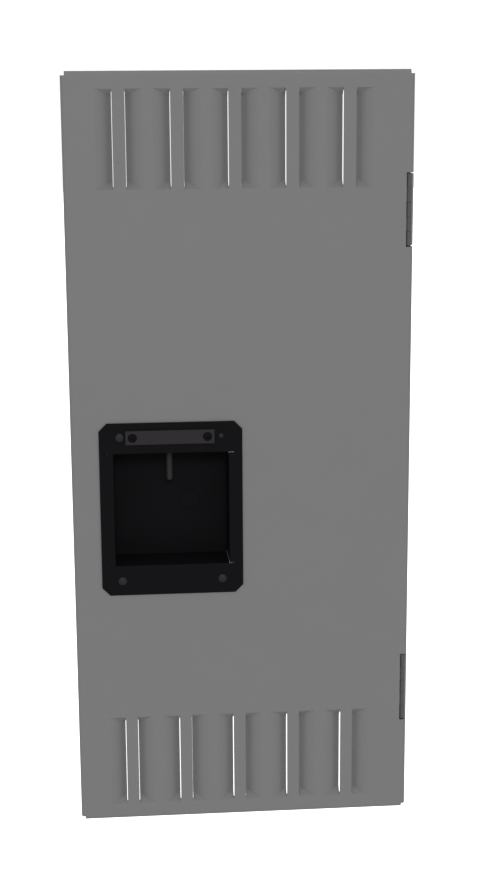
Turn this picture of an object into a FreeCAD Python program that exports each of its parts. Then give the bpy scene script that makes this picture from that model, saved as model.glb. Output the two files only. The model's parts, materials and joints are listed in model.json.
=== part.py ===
"""Wall-hung, naturally ventilated battery cabinet with two lead-acid batteries.

Millimetres.  While building, x runs from the left edge of the door to its right edge, y runs
from the door's front face into the cabinet and z runs up from the underside.  Every piece is
then shifted so that the origin is the centre of the cabinet's underside.
"""
import FreeCAD
import Part
import math
import os

V = FreeCAD.Vector
X_AXIS = V(1, 0, 0)
Y_AXIS = V(0, 1, 0)
Z_AXIS = V(0, 0, 1)

# ---- cabinet ----
WIDTH = 357.0
HEIGHT = 800.0
DEPTH = 250.0                 # door face to back face
SHEET = 2.0                   # steel sheet of door and body
BODY_FRONT = 22.5             # front plane of the body, behind the door pan
BODY_TOP = HEIGHT - 5.0       # the door stands above the body
LIP = 12.0                    # return lip round the body's front opening
BODY_BEND = 4.0               # outside radius of the body's rear bends
FIT = 0.02                    # air gap between pieces that seat on each other
THROUGH = 20.0                # length of cutters that go right through a sheet
FLANGE_Z_DROP = 12.0          # depth of the top and floor panels' folded edges
SEAL_T = 1.4                  # thickness of the door's sponge strip

# ---- door pan ----
DOOR_DEPTH = 20.0
DOOR_BEND = 4.2               # outside bend radius, and size of the square corner reliefs
DOOR_RETURN = 8.0             # second fold, turned inwards

# ---- louvres: pairs of pressed lances facing a flat strip ----
GROUPS = 5
GROUP_PITCH = 58.4
GROUP_MIDDLE = 174.0          # x of the middle group
STRIP = 12.9                  # flat strip between the two lances of a pair
SLIT = 0.5                    # gap left between strip and lance lip
SLIT_END = 3.0                # the gap stops this short of the lance's ends
LANCE = 17.0                  # root to lip
LANCE_KNEE = 12.5             # root to the steepest place
LANCE_ROOT = math.radians(11)  # slope at the root
LANCE_STEEP = math.radians(34)
LANCE_LIP = math.radians(6)   # slope at the lip
ROOT_R = LANCE_KNEE / (math.sin(LANCE_STEEP) - math.sin(LANCE_ROOT))
LIP_R = (LANCE - LANCE_KNEE) / (math.sin(LANCE_STEEP) - math.sin(LANCE_LIP))
ROOT_DROP = ROOT_R * (math.cos(LANCE_ROOT) - math.cos(LANCE_STEEP))
LANCE_DEPTH = ROOT_DROP + LIP_R * (math.cos(LANCE_LIP) - math.cos(LANCE_STEEP))
LANCE_RUN = 8.0               # height of a lance's sloping end
VENT_HEIGHT = 100.0
VENT_MARGIN = 17.5            # from the door's top and bottom edges

# ---- hinges ----
HINGE_HEIGHTS = (141.0, 659.0)
HINGE_NOTCH = 76.0
HINGE_LENGTH = 74.0
NOTCH_WIDTH = 7.6
EAR_HEIGHT = 73.0             # part of the body side that comes forward beside each hinge
EAR_FRONT = 3.3
KNUCKLES = 5
KNUCKLE_R = 2.6
KNUCKLE_GAP = 0.15            # at each end of a knuckle
PIN_R = 1.2
RUNNING = 0.05                # radial clearance of every turning fit
PIN_X = WIDTH - SHEET - KNUCKLE_R - RUNNING
PIN_Y = 3.7
LEAF_BACK = 42.0              # depth to which the body leaf runs
LEAF_ROOT = 8.0               # depth behind which the body leaf is one full-length plate
LEAF_HOLE_Y = 32.0
STUD_BACK = 19.0              # from the pin to the door leaf's studs
DOOR_LEAF = 28.0              # width of the door leaf

# ---- latch pocket ----
POCKET_SHEET = 1.5
POCKET_X = (43.8, 164.7)      # clear opening
POCKET_Z = (288.3, 409.6)
POCKET_DEPTH = 43.6
FLANGE_X = (29.1, 178.9)
FLANGE_Z = (256.1, 442.4)
FLANGE_CHAMFER = 8.4
RIM_R = 1.2                   # rolled edge round the opening
FOLD_GAP = 0.6                # open joint at the corners of the folded walls
RELIEF_X = ((34.5, 40.1), (164.7, 170.0))    # short slots through the rim in line with the joints
CUTOUT_X = (34.5, 172.0)
CUTOUT_Z = (280.4, 416.0)
POCKET_RIVETS = ((50.8, 427.3, 4.5), (156.8, 427.3, 2.5), (50.8, 271.7, 4.5), (156.8, 271.7, 4.5))
KNOCKOUT = (125.5, 347.8, 11.3)
RIVET_R = 1.6
FOAM_X = (40.1, 170.3)        # inner edge of the left foam strip, outer edge of the right one
FOAM_T = 6.0
BEAD_FRONT = 1.0              # depth at which the corner sealant starts
BEAD_PROUD = 0.08             # sealant standing into the pocket on its right side
BEAD_REACH = (0.25, 0.65)     # sealant squeezed forward into the right relief slots: lower, upper

# ---- latch ----
STRIP_X = (56.7, 149.8)
STRIP_Z = (419.5, 434.4)
STRIP_SHEET = 2.0
STRIP_SCREW_X = (64.1, 142.4)
SHAFT_Y = 22.0
SHAFT_Z = 426.9
SHAFT_R = 4.0
LEVER_X = 103.0
LEVER_R = 3.2
LEVER_END_Z = 375.0
HUB_R = 7.0
LEVER_HUB = 6.0               # half width of the lever's hub
BORE_EASE = 0.01              # pressed bores on the shaft
BRACKET_T = 2.5               # sheet of the bearing brackets and the striker
HOOK_X = (18.0, 23.0)
HOOK_T = 7.0                  # thickness of the hook's prong
HOOK_REACH = 24.0
STRIKER_GAP = 10.6            # shaft centre to the striker's lower edge
STRIKER_SCREW_Y = 48.0

# ---- batteries and shelves ----
BATTERY_L = 330.0
BATTERY_W = 173.0
CASE_H = 195.0
LID_H = 25.0
CELLS = 6
WALL = 3.0
BATTERY_Y = 62.0
SHELF_Z = (135.0, 392.0)      # underside of each shelf plate
SHELF_Y = (54.0, 246.0)
POST_INSET = 35.0             # terminal centre from the battery's end
POST_Y = 85.0
POST_R = 10.0
POST_H = 8.0
STUD_R = 4.0
STUD_H = 19.0
PLUG_Y = 150.0                # middle of the vent plugs
PLUG_R = 13.0
STRAP_W = 38.0
STRAP_T = 1.8
STRAP_GAP = 0.5               # between webbing and battery
STRAP_DROP = 1.3              # inner face of the strap below a shelf plate's underside

# ---- cables ----
CABLE_R = 5.0
CABLE_BEND = 14.0
TIGHT_BEND = 8.0              # where a cable turns down behind the latch pocket
CABLE_Y = 47.0                # cables drop between the batteries and the door
CABLE_END_Y = 72.0            # cable ends inside their lugs
CABLE_RISE = 9.5              # cable middle above a battery lid
GLAND_CABLE_END = 12.0        # height of the cables' lower ends

# ---- isolator ----
ISO_X = (215.0, 281.0)
ISO_Z = (52.0, 118.0)
ISO_Y = (208.0, 248.0)
KNOB_R = 24.0
KNOB_SHAFT_R = 6.0
KNOB_GAP = 2.5                # knob to switch body
KNOB_T = 9.5
GRIP_FRONT = 26.0             # grip bar's front, from the switch body
EAR_T = 6.0

# ---- gland bracket ----
GLAND_X = 26.0
GLAND_Y = (130.0, 172.0, 216.0)
GLAND_PLATE_Z = 40.0
GLAND_HOLE_R = 12.5
GLAND_BORE_R = 6.5

# ---- screws ----
FLUSH_HEAD_R = 3.6            # countersunk screws of the sheet-metal joints
FLUSH_R = 2.0
FLUSH_LENGTH = 8.0
STRIP_SCREW_R = 2.5
STRIP_HEAD_R = 4.7
PANEL_SCREW_INSET = 8.0       # from the top and bottom edges
SHELF_SCREW_DROP = 9.0        # below a shelf plate

# ---- wall fixings ----
WALL_HOLE_R = 4.5
WALL_X = (38.5, 318.5)
WALL_Z = (106.0, 646.0)

# ---- floor and back openings ----
FLOOR_OPEN_X = (50.0, 335.0)
BACK_NOTCH_Z = 30.0
SLOT_PITCH = 16.65
SLOT_W = 12.6
SLOT_FIRST_X = 51.6           # middle of the first back slot
SLOT_COUNT = 17
SLOT_Z = (658.0, 782.0)

FRONT_PROUD = 6.0             # latch screw heads stand this far in front of the door
SHIFT = V(-WIDTH / 2, -(DEPTH - FRONT_PROUD) / 2, 0)


# ---------------------------------------------------------------- helpers
def box(x0, x1, y0, y1, z0, z1):
    """Block between two corners."""
    return Part.makeBox(x1 - x0, y1 - y0, z1 - z0, V(x0, y0, z0))


def cylinder(at, axis, radius, length):
    """Round bar from a point along an axis."""
    return Part.makeCylinder(radius, length, at, axis)


def prism(points, along):
    """Straight extrusion of a closed outline."""
    return Part.Face(Part.makePolygon(points + [points[0]])).extrude(along)


def join(shapes):
    """One solid out of touching or overlapping shapes."""
    return shapes[0].multiFuse(shapes[1:]).removeSplitter()


def group(shapes):
    """Separate solids kept in one node."""
    return Part.makeCompound(shapes)


def aim(shape, at, direction):
    """Turn a shape built along +Z to a direction and put its base at a point."""
    turned = shape.copy()
    turned.Placement = FreeCAD.Placement(at, FreeCAD.Rotation(Z_AXIS, direction))
    return turned


def rounded(shape, radius, wanted):
    """Fillet the edges that a test picks out."""
    edges = [edge for edge in shape.Edges if wanted(edge)]
    return shape.makeFillet(radius, edges)


def on_plane(edge, axis, value):
    """True when the whole edge lies on a plane across one axis."""
    return all(abs(getattr(vertex.Point, axis) - value) < 1e-6 for vertex in edge.Vertexes)


def is_along(edge, axis):
    """True for a straight edge along an axis."""
    if len(edge.Vertexes) != 2:
        return False
    run = edge.Vertexes[1].Point - edge.Vertexes[0].Point
    return run.cross(axis).Length < 1e-6


def dome(radius, height):
    """Low round head standing on z = 0."""
    rim = V(radius, 0, 0)
    top = V(0, 0, height)
    sphere_r = (radius ** 2 + height ** 2) / (2 * height)
    half = math.asin(radius / sphere_r) / 2
    middle = V(sphere_r * math.sin(half), 0, height - sphere_r * (1 - math.cos(half)))
    outline = [Part.LineSegment(V(0, 0, 0), rim).toShape(), Part.Arc(rim, middle, top).toShape(),
               Part.LineSegment(top, V(0, 0, 0)).toShape()]
    return Part.Face(Part.Wire(outline)).revolve(V(0, 0, 0), Z_AXIS, 360)


def hexagon(across_flats, height):
    """Hexagonal block standing on z = 0."""
    corner = across_flats / math.sqrt(3)
    points = [V(corner * math.cos(math.radians(60 * i)), corner * math.sin(math.radians(60 * i)), 0)
              for i in range(6)]
    return prism(points, V(0, 0, height))


def nut(across_flats, height, bore_r):
    """Plain hexagon nut standing on z = 0, with its outer corners eased."""
    body = hexagon(across_flats, height)
    cone = Part.makeCone(across_flats / 2 + height, across_flats / 2 - 0.2, height + 0.2)
    body = body.common(cone)
    return body.cut(Part.makeCylinder(bore_r, height * 3, V(0, 0, -height)))


def round_screw(head_r, head_h, shank_r, length, socket):
    """Round-headed screw: head above z = 0, shank below, hexagon socket in the head."""
    body = join([dome(head_r, head_h), Part.makeCylinder(shank_r, length, V(0, 0, -length))])
    recess = hexagon(socket, head_h)
    recess.translate(V(0, 0, head_h * 0.4))
    return body.cut(recess)


def flush_screw(head_r, shank_r, length, socket):
    """Countersunk screw whose head is flush at z = 0."""
    head_h = head_r - shank_r
    head = Part.makeCone(shank_r, head_r, head_h, V(0, 0, -head_h))
    body = join([head, Part.makeCylinder(shank_r, length, V(0, 0, -length))])
    recess = hexagon(socket, head_h * 2)
    recess.translate(V(0, 0, -head_h * 0.6))
    return body.cut(recess)


def flush_hole(head_r, shank_r, length):
    """Cutter for a countersunk hole, a little bigger than its screw."""
    ease = 0.05
    head_h = head_r - shank_r
    head = Part.makeCone(shank_r + ease, head_r + ease, head_h, V(0, 0, -head_h))
    return join([head, Part.makeCylinder(shank_r + ease, length, V(0, 0, -length))])


def path(points, bend):
    """Centre line through points, with round corners."""
    edges = []
    start = points[0]
    for before, corner, after in zip(points, points[1:], points[2:]):
        inwards = (before - corner).normalize()
        outwards = (after - corner).normalize()
        turn = math.pi - inwards.getAngle(outwards)
        back = bend * math.tan(turn / 2)
        first = corner + inwards * back
        last = corner + outwards * back
        towards = (inwards + outwards).normalize()
        middle = corner + towards * (bend / math.cos(turn / 2) - bend)
        edges.append(Part.LineSegment(start, first).toShape())
        edges.append(Part.Arc(first, middle, last).toShape())
        start = last
    edges.append(Part.LineSegment(start, points[-1]).toShape())
    return Part.Wire(edges)


def cable(points, bend):
    """Round cable swept through points."""
    line = path(points, bend)
    ring = Part.Wire(Part.makeCircle(CABLE_R, points[0], points[1] - points[0]))
    return line.makePipeShell([ring], True, False)


# ---------------------------------------------------------------- places shared by several pieces
def panel_screw_spots():
    """Flush screws through the body sides into the top and floor flanges: point, outward axis."""
    spots = []
    for z in (PANEL_SCREW_INSET, BODY_TOP - PANEL_SCREW_INSET):
        for y in (60.0, 140.0, 220.0):
            spots.append((V(0, y, z), V(-1, 0, 0)))
            spots.append((V(WIDTH, y, z), V(1, 0, 0)))
    return spots


def shelf_screw_spots():
    """Flush screws through the body sides into the shelf flanges."""
    spots = []
    for shelf in SHELF_Z:
        for y in (80.0, 150.0, 220.0):
            spots.append((V(0, y, shelf - SHELF_SCREW_DROP), V(-1, 0, 0)))
            spots.append((V(WIDTH, y, shelf - SHELF_SCREW_DROP), V(1, 0, 0)))
    return spots


def lid_top(shelf):
    """Height of a battery's lid above the underside of its shelf plate."""
    return shelf + SHEET + CASE_H + LID_H


def battery_x():
    """Left end of both batteries."""
    return (WIDTH - BATTERY_L) / 2


def post_spots():
    """Centres of the four battery posts, on the lids."""
    left = battery_x() + POST_INSET
    right = battery_x() + BATTERY_L - POST_INSET
    return [V(x, POST_Y, lid_top(shelf)) for shelf in SHELF_Z for x in (left, right)]


# ---------------------------------------------------------------- body
def body_wrap():
    """Left side, back and right side folded from one sheet, with front lips and an ear at each hinge."""
    shell = body_shell()
    ears = [box(WIDTH - SHEET, WIDTH, EAR_FRONT, BODY_FRONT + SHEET, zc - EAR_HEIGHT / 2, zc + EAR_HEIGHT / 2)
            for zc in HINGE_HEIGHTS]
    cutters = [box(*FLOOR_OPEN_X, DEPTH - THROUGH / 2, DEPTH + 1, 0, BACK_NOTCH_Z)]
    cutters += [back_slot(SLOT_FIRST_X + i * SLOT_PITCH) for i in range(SLOT_COUNT)]
    for x in WALL_X:
        for z in WALL_Z:
            cutters.append(cylinder(V(x, DEPTH - THROUGH / 2, z), Y_AXIS, WALL_HOLE_R, THROUGH))
    for at, out in panel_screw_spots() + shelf_screw_spots():
        cutters.append(aim(flush_hole(FLUSH_HEAD_R, FLUSH_R, THROUGH), at, out))
    for zc in HINGE_HEIGHTS:
        for y, dz in hinge_leaf_holes():
            cutters.append(cylinder(V(WIDTH - LIP, y, zc + dz), X_AXIS, FLUSH_R + FIT, THROUGH))
    for z in striker_screw_heights():
        cutters.append(cylinder(V(-1, STRIKER_SCREW_Y, z), X_AXIS, FLUSH_R + FIT, THROUGH))
    return shell.fuse(group(ears)).cut(group(cutters)).removeSplitter()


def body_shell():
    """The folded sheet before its holes are cut; the right lip is left out beside the hinges."""
    rear = lambda edge: is_along(edge, Z_AXIS) and on_plane(edge, "y", DEPTH)
    outer = rounded(box(0, WIDTH, BODY_FRONT, DEPTH, SHEET, BODY_TOP - SHEET), BODY_BEND, rear)
    inner_rear = lambda edge: is_along(edge, Z_AXIS) and on_plane(edge, "y", DEPTH - SHEET)
    inside = box(SHEET, WIDTH - SHEET, BODY_FRONT + SHEET, DEPTH - SHEET, 0, HEIGHT)
    opening = box(LIP, WIDTH - LIP, 0, BODY_FRONT + 2 * SHEET, 0, HEIGHT)
    reliefs = [box(WIDTH - LIP - 1, WIDTH - SHEET, BODY_FRONT - 1, BODY_FRONT + SHEET,
                   zc - HINGE_NOTCH / 2, zc + HINGE_NOTCH / 2) for zc in HINGE_HEIGHTS]
    return outer.cut(rounded(inside, BODY_BEND - SHEET, inner_rear)).cut(group([opening] + reliefs))


def back_slot(middle):
    """Cutter for one round-ended vertical air slot in the back."""
    half = SLOT_W / 2
    start = DEPTH - THROUGH / 2
    low, high = SLOT_Z[0] + half, SLOT_Z[1] - half
    ends = [cylinder(V(middle, start, z), Y_AXIS, half, THROUGH) for z in (low, high)]
    return join([box(middle - half, middle + half, start, start + THROUGH, low, high)] + ends)


def tray_flanges(z0, z1):
    """Four upright flanges that fit inside the body, between two heights: left, right, front, back."""
    side = SHEET + FIT
    front = BODY_FRONT + SHEET + FIT
    back = DEPTH - SHEET - FIT
    inset = 6.0
    lip_ease = 0.1
    return [box(side, side + SHEET, front + inset, back - inset, z0, z1),
            box(WIDTH - side - SHEET, WIDTH - side, front + inset, back - inset, z0, z1),
            box(LIP + lip_ease, WIDTH - LIP - lip_ease, BODY_FRONT, BODY_FRONT + SHEET, z0, z1),
            box(inset * 2, WIDTH - inset * 2, back - SHEET, back, z0, z1)]


def cap_plate(z0):
    """Top or bottom sheet with the body's rounded rear corners."""
    rear = lambda edge: is_along(edge, Z_AXIS) and on_plane(edge, "y", DEPTH)
    return rounded(box(0, WIDTH, BODY_FRONT, DEPTH, z0, z0 + SHEET), BODY_BEND, rear)


def top_panel():
    """Top sheet with flanges turned down."""
    flanges = tray_flanges(BODY_TOP - FLANGE_Z_DROP, BODY_TOP - SHEET)
    shape = join([cap_plate(BODY_TOP - SHEET)] + flanges)
    holes = [aim(flush_hole(FLUSH_HEAD_R, FLUSH_R, THROUGH), at, out) for at, out in panel_screw_spots()]
    return shape.cut(group(holes))


def floor_panel():
    """Bottom sheet with flanges turned up, a wide air inlet and the gland cut-out."""
    front_flange_top = 9.0
    inlet_front = 42.0
    gland_window = box(9, 45, 112, 236, -1, SHEET + 1)
    flanges = tray_flanges(SHEET, FLANGE_Z_DROP)
    flanges[2] = flanges[2].cut(box(0, WIDTH, 0, DEPTH, front_flange_top, HEIGHT))
    shape = join([cap_plate(0)] + flanges)
    cutters = [box(*FLOOR_OPEN_X, inlet_front, DEPTH + 1, -1, HEIGHT), gland_window]
    for at in gland_screw_spots():
        cutters.append(cylinder(at - V(0, 0, THROUGH / 2), Z_AXIS, FLUSH_R + FIT, THROUGH))
    for at, out in panel_screw_spots():
        cutters.append(aim(flush_hole(FLUSH_HEAD_R, FLUSH_R, THROUGH), at, out))
    return shape.cut(group(cutters))


def flush_screws(spots):
    """A set of identical countersunk screws."""
    screw = flush_screw(FLUSH_HEAD_R, FLUSH_R, FLUSH_LENGTH, 2.5)
    return group([aim(screw, at, out) for at, out in spots])


def door_gasket():
    """Flat sponge strip round the front of the body lips, open beside the hinges."""
    edge = 3.5
    width = 7.5
    foot_width = 5.0
    ring = box(edge, WIDTH - edge, BODY_FRONT - SEAL_T, BODY_FRONT, edge, BODY_TOP - edge)
    hole = box(edge + width, WIDTH - edge - width, 0, DEPTH, edge + foot_width, BODY_TOP - edge - width)
    notches = [box(WIDTH - LIP, WIDTH, 0, DEPTH, zc - HINGE_NOTCH / 2, zc + HINGE_NOTCH / 2)
               for zc in HINGE_HEIGHTS]
    return ring.cut(group([hole] + notches))


def earth_stud():
    """Bonding stud with two nuts on the left side wall."""
    at = V(SHEET, 232, 640)
    stud_r = 3.0
    stud = cylinder(at, X_AXIS, stud_r, 18)
    lock_nut = nut(10, 5, stud_r + FIT)
    return group([stud, aim(lock_nut, at, X_AXIS), aim(lock_nut, at + V(9, 0, 0), X_AXIS)])


# ---------------------------------------------------------------- hinges
def hinge_leaf_holes():
    """Screw places on a body leaf: depth, height from the hinge's middle."""
    return [(LEAF_HOLE_Y, dz) for dz in (-25.0, 0.0, 25.0)]


def knuckle_spans(zc, wanted):
    """Height ranges of the even (body) or odd (door) knuckles."""
    pitch = HINGE_LENGTH / KNUCKLES
    base = zc - HINGE_LENGTH / 2
    return [(base + i * pitch + KNUCKLE_GAP, base + (i + 1) * pitch - KNUCKLE_GAP)
            for i in range(KNUCKLES) if i % 2 == wanted]


def body_leaf(zc):
    """Leaf fixed to the body side, running straight back from its knuckles."""
    low = zc - HINGE_LENGTH / 2
    outer = WIDTH - SHEET - FIT
    shapes = [box(outer - SHEET, outer, LEAF_ROOT, LEAF_BACK, low, low + HINGE_LENGTH)]
    for z0, z1 in knuckle_spans(zc, 0):
        shapes.append(box(outer - SHEET, outer, PIN_Y, LEAF_ROOT, z0, z1))
        shapes.append(cylinder(V(PIN_X, PIN_Y, z0), Z_AXIS, KNUCKLE_R, z1 - z0))
    cutters = [cylinder(V(PIN_X, PIN_Y, low - 1), Z_AXIS, PIN_R, HINGE_LENGTH + 2)]
    for y, dz in hinge_leaf_holes():
        hole = flush_hole(FLUSH_HEAD_R, FLUSH_R, 3 * SHEET)
        cutters.append(aim(hole, V(outer - SHEET, y, zc + dz), V(-1, 0, 0)))
    return join(shapes).cut(group(cutters))


def door_leaf(zc):
    """Leaf behind the door face, running left from its knuckles."""
    low = zc - HINGE_LENGTH / 2
    front = SHEET + FIT
    root = PIN_X - KNUCKLE_R - 0.6
    shapes = [box(PIN_X - DOOR_LEAF, root, front, front + SHEET, low, low + HINGE_LENGTH)]
    for z0, z1 in knuckle_spans(zc, 1):
        shapes.append(box(root - 1, PIN_X, front, front + SHEET, z0, z1))
        shapes.append(cylinder(V(PIN_X, PIN_Y, z0), Z_AXIS, KNUCKLE_R, z1 - z0))
    cutters = [cylinder(V(PIN_X, PIN_Y, low - 1), Z_AXIS, PIN_R + RUNNING, HINGE_LENGTH + 2)]
    for x, dz in door_stud_places():
        cutters.append(cylinder(V(x, 0, zc + dz), Y_AXIS, FLUSH_R + 0.1, THROUGH))
    return join(shapes).cut(group(cutters))


def door_stud_places():
    """Weld studs on the door for one leaf: x, height from the hinge's middle."""
    return [(PIN_X - STUD_BACK, dz) for dz in (-22.0, 22.0)]


def hinge_pins():
    """Pins, a little shorter than the hinges."""
    length = HINGE_LENGTH - 1
    return group([cylinder(V(PIN_X, PIN_Y, zc - length / 2), Z_AXIS, PIN_R, length) for zc in HINGE_HEIGHTS])


def hinge_leaf_screws():
    """Countersunk rivets from the body leaves through the side wall."""
    screw = flush_screw(FLUSH_HEAD_R, FLUSH_R, 2 * SHEET, 2.0)
    face = WIDTH - 2 * SHEET - FIT
    spots = [V(face, y, zc + dz) for zc in HINGE_HEIGHTS for y, dz in hinge_leaf_holes()]
    return group([aim(screw, at, V(-1, 0, 0)) for at in spots])


def hinge_studs():
    """Studs welded to the back of the door face."""
    return group([cylinder(V(x, SHEET, zc + dz), Y_AXIS, FLUSH_R, 8)
                  for zc in HINGE_HEIGHTS for x, dz in door_stud_places()])


def hinge_nuts():
    """Nuts that hold the door leaves on their studs."""
    seat = 2 * SHEET + FIT
    return group([aim(nut(7, 3.2, FLUSH_R + FIT), V(x, seat, zc + dz), Y_AXIS)
                  for zc in HINGE_HEIGHTS for x, dz in door_stud_places()])


# ---------------------------------------------------------------- door
def root_arc(slope):
    """Distance from the root and depth where the outward bend of a lance has reached a slope."""
    return (ROOT_R * (math.sin(slope) - math.sin(LANCE_ROOT)),
            ROOT_R * (math.cos(LANCE_ROOT) - math.cos(slope)))


def lip_arc(slope):
    """Distance from the root and depth where the inward bend of a lance has eased to a slope."""
    run = LIP_R * (math.sin(LANCE_STEEP) - math.sin(slope))
    drop = LIP_R * (math.cos(slope) - math.cos(LANCE_STEEP))
    return LANCE_KNEE + run, ROOT_DROP + drop


def lance_block(root, hand, low, start, lift):
    """S-shaped block under a lance surface, with sloping ends.

    hand is +1 when the lip is right of the root; lift moves the surface away from the door face."""
    marks = [(0, 0), root_arc((LANCE_ROOT + LANCE_STEEP) / 2), root_arc(LANCE_STEEP),
             lip_arc((LANCE_STEEP + LANCE_LIP) / 2), lip_arc(LANCE_LIP)]
    a, b, c, d, e = [V(root + hand * run, drop + lift, low - 5) for run, drop in marks]
    corner_lip = V(e.x, start, e.z)
    corner_root = V(root, start, e.z)
    outline = [Part.Arc(a, b, c).toShape(), Part.Arc(c, d, e).toShape(),
               Part.LineSegment(e, corner_lip).toShape(),
               Part.LineSegment(corner_lip, corner_root).toShape(),
               Part.LineSegment(corner_root, a).toShape()]
    curved = Part.Face(Part.Wire(outline)).extrude(V(0, 0, VENT_HEIGHT + 10))
    slope = LANCE_RUN / LANCE_DEPTH
    deep = LANCE_DEPTH + lift + 1
    high = low + VENT_HEIGHT
    left = min(root, e.x) - 1
    ends = prism([V(left, start, low + (start - lift) * slope), V(left, deep, low + (deep - lift) * slope),
                  V(left, deep, high - (deep - lift) * slope), V(left, start, high - (start - lift) * slope)],
                 V(LANCE + 2, 0, 0))
    return curved.common(ends)


def vent_lances():
    """Root, hand and strip edge of the ten lances of one vent band."""
    lances = []
    for i in range(GROUPS):
        middle = GROUP_MIDDLE + (i - (GROUPS - 1) / 2) * GROUP_PITCH
        for hand in (1, -1):
            edge = middle - hand * STRIP / 2
            lances.append((edge - hand * (SLIT + LANCE), hand, edge))
    return lances


def door_pan():
    """Folded tray: face, four flanges and a second return fold, open at the corners."""
    front = lambda edge: on_plane(edge, "y", 0)
    outer = rounded(box(0, WIDTH, 0, DOOR_DEPTH, 0, HEIGHT), DOOR_BEND, front)
    inner_front = lambda edge: on_plane(edge, "y", SHEET)
    inner = box(SHEET, WIDTH - SHEET, SHEET, DOOR_DEPTH - SHEET, SHEET, HEIGHT - SHEET)
    inner = rounded(inner, DOOR_BEND - SHEET, inner_front)
    edge = SHEET + DOOR_RETURN
    window = box(edge, WIDTH - edge, DOOR_DEPTH - SHEET - 1, DOOR_DEPTH + 1, edge, HEIGHT - edge)
    corners = [box(x, x + DOOR_BEND, -1, DOOR_DEPTH + 1, z, z + DOOR_BEND)
               for x in (0, WIDTH - DOOR_BEND) for z in (0, HEIGHT - DOOR_BEND)]
    return outer.cut(group([inner])).cut(window).cut(group(corners))


def door_panel():
    """Door pan with vent bands, hinge notches and the latch cut-out."""
    bulges = []
    cavities = []
    for low in (VENT_MARGIN, HEIGHT - VENT_MARGIN - VENT_HEIGHT):
        for root, hand, edge in vent_lances():
            bulges.append(lance_block(root, hand, low, 0.5, SHEET))
            cavities.append(lance_block(root, hand, low, -1, 0))
            lip = root + hand * LANCE
            cavities.append(box(min(lip, edge), max(lip, edge), -1, SHEET + 0.5, low + SLIT_END,
                                low + VENT_HEIGHT - SLIT_END))
    shape = door_pan().multiFuse(bulges)
    for cavity in cavities:
        shape = shape.cut(cavity)
    cutters = [box(*CUTOUT_X, -1, SHEET + 1, *CUTOUT_Z)]
    for zc in HINGE_HEIGHTS:
        low = zc - HINGE_NOTCH / 2
        cutters.append(box(WIDTH - NOTCH_WIDTH, WIDTH + 1, -1, DOOR_DEPTH + 1, low, low + HINGE_NOTCH))
        cutters.append(box(WIDTH - LIP - 1, WIDTH + 1, DOOR_DEPTH - SHEET - 1, DOOR_DEPTH + 1,
                           low, low + HINGE_NOTCH))
    return shape.cut(group(cutters + pocket_fixing_holes())).removeSplitter()


def pocket_fixing_holes():
    """Cutters for the rivets and strip screws that go through pocket flange and door."""
    front = -THROUGH / 2
    holes = [cylinder(V(x, front, z), Y_AXIS, RIVET_R + FIT, THROUGH) for x, z, _ in POCKET_RIVETS]
    return holes + [cylinder(V(x, front, SHAFT_Z), Y_AXIS, STRIP_SCREW_R + RUNNING, THROUGH)
                    for x in STRIP_SCREW_X]


def door_stiffener():
    """Hat-section rib up the back of the door, spot-welded by its feet."""
    x0, depth, foot, web = 246.0, 13.0, 10.0, 26.0
    low, length = 140.0, 520.0
    thick = 1.2
    y0 = SHEET + FIT
    outline = [(x0, y0), (x0 + foot + thick, y0), (x0 + foot + thick, y0 + depth - thick),
               (x0 + foot + web - thick, y0 + depth - thick), (x0 + foot + web - thick, y0),
               (x0 + 2 * foot + web, y0), (x0 + 2 * foot + web, y0 + thick), (x0 + foot + web, y0 + thick),
               (x0 + foot + web, y0 + depth), (x0 + foot, y0 + depth), (x0 + foot, y0 + thick),
               (x0, y0 + thick)]
    return prism([V(x, y, low) for x, y in outline], V(0, 0, length))


# ---------------------------------------------------------------- latch pocket
def pocket_rim():
    """Flat rim of the pocket: outer corners cut at 45 degrees, square opening."""
    left, right = FLANGE_X
    low, high = FLANGE_Z
    cut = FLANGE_CHAMFER
    outline = [(left + cut, low), (right - cut, low), (right, low + cut), (right, high - cut),
               (right - cut, high), (left + cut, high), (left, high - cut), (left, low + cut)]
    plate = prism([V(x, -POCKET_SHEET, z) for x, z in outline], V(0, POCKET_SHEET, 0))
    return plate.cut(box(*POCKET_X, -THROUGH, THROUGH, *POCKET_Z))


def is_pocket_bend(edge):
    """True for the four front edges of the pocket's opening."""
    level = is_along(edge, X_AXIS) and any(on_plane(edge, "z", value) for value in POCKET_Z)
    upright = is_along(edge, Z_AXIS) and any(on_plane(edge, "x", value) for value in POCKET_X)
    return on_plane(edge, "y", -POCKET_SHEET) and (level or upright)


def latch_pocket():
    """Black finger pocket: rolled rim, folded walls with open corner joints, relief slots in the rim."""
    t = POCKET_SHEET
    left, right = POCKET_X
    low, high = POCKET_Z
    back = POCKET_DEPTH
    walls = [box(left, right, -t, back + t, z0, z0 + t) for z0 in (low - t, high)]
    walls += [box(x0, x0 + t, -t, back + t, low + FOLD_GAP, high - FOLD_GAP) for x0 in (left - t, right)]
    shape = rounded(join([pocket_rim()] + walls), RIM_R, is_pocket_bend)
    shape = join([shape, box(left - t, right + t, back, back + t, low - t, high + t)])
    cx, cz, radius = KNOCKOUT
    ring = cylinder(V(cx, back - 1, cz), Y_AXIS, radius, 1.45)
    ring = ring.cut(cylinder(V(cx, back - 2, cz), Y_AXIS, radius - 0.9, 5))
    lever_slot = box(LEVER_X - 5, LEVER_X + 5, 9, 33, high - 1, high + t + 1)
    reliefs = [box(*span, -t - 1, 0, z0, z0 + FOLD_GAP) for span in RELIEF_X for z0 in (low, high - FOLD_GAP)]
    return shape.cut(group([ring, lever_slot] + reliefs + pocket_fixing_holes()))


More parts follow.
